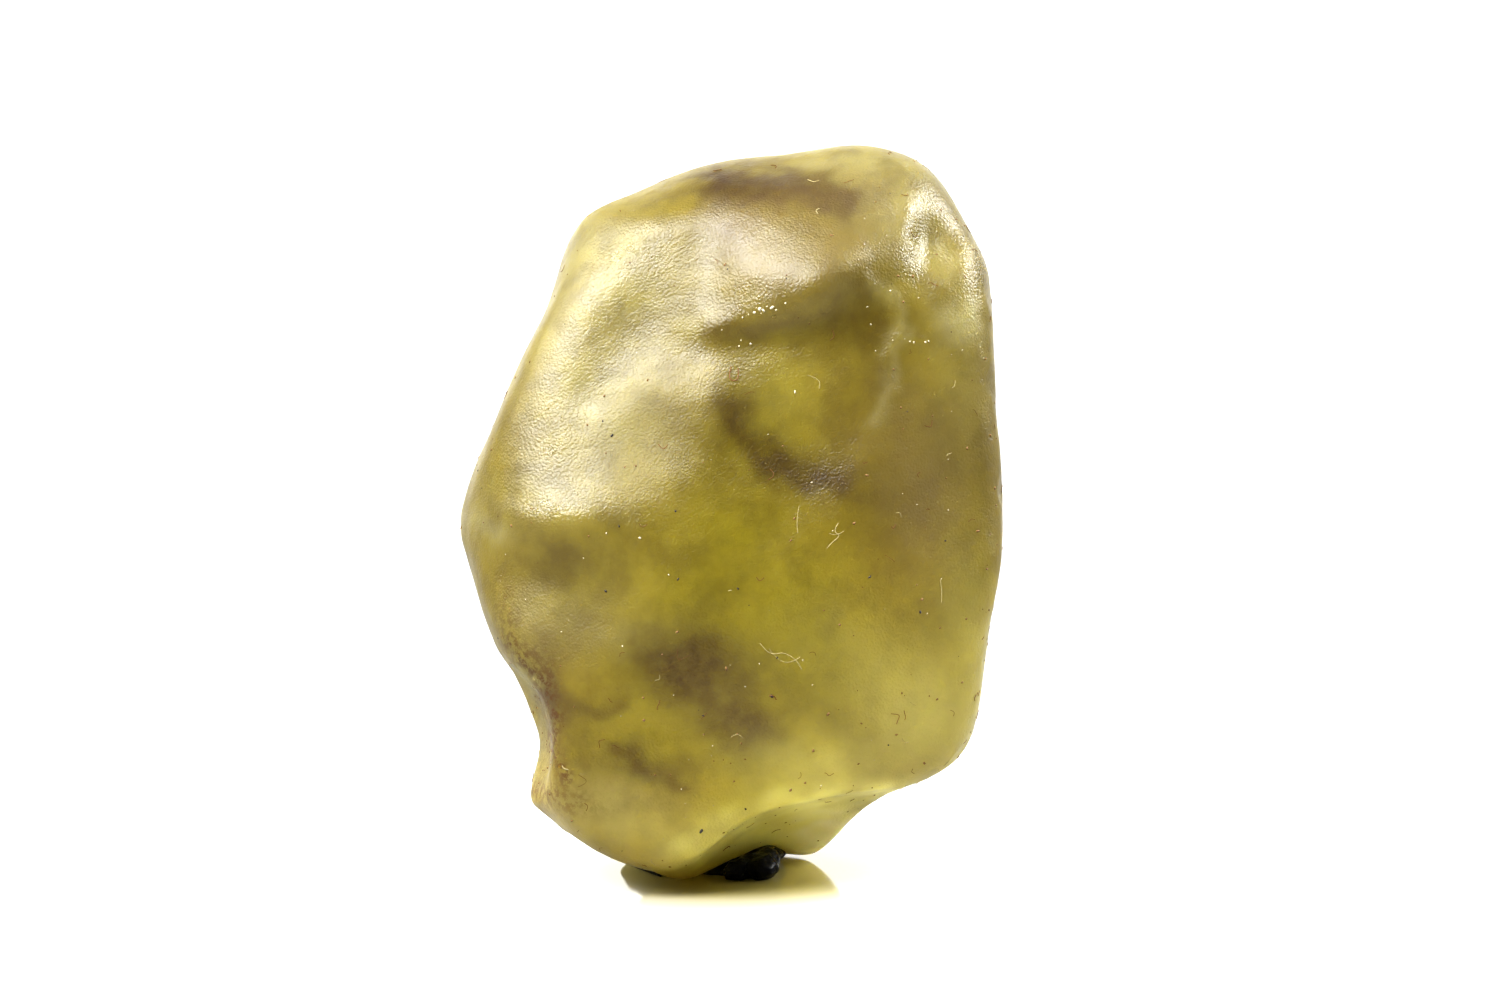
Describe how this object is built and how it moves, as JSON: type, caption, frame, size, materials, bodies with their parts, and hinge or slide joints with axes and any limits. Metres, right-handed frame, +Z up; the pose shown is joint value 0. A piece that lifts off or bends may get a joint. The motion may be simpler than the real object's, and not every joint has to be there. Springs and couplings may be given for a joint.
{
  "type": "libyan desert glass",
  "caption": "Wind-worn fragment of yellow-green natural glass with broad frosted facets, a bitten lower edge and a small dark putty pad that holds it upright.",
  "frame": {"origin": "middle of the object's box, at the surface that it stands on", "axes": "+Z up along the stone's height, +X to the right of its broad face, +Y away from the broad face through its thickness"},
  "size_m": [0.0236, 0.0162, 0.0316],
  "materials": {
    "worn_glass": "frosted by sand, with a silky sheen and milky, see-through depth",
    "dark_putty": "soft sheen, pressed by fingers"
  },
  "bodies": {
    "root": {"desert_glass": "worn_glass", "putty_pad": "dark_putty"}
  },
  "joints": []
}
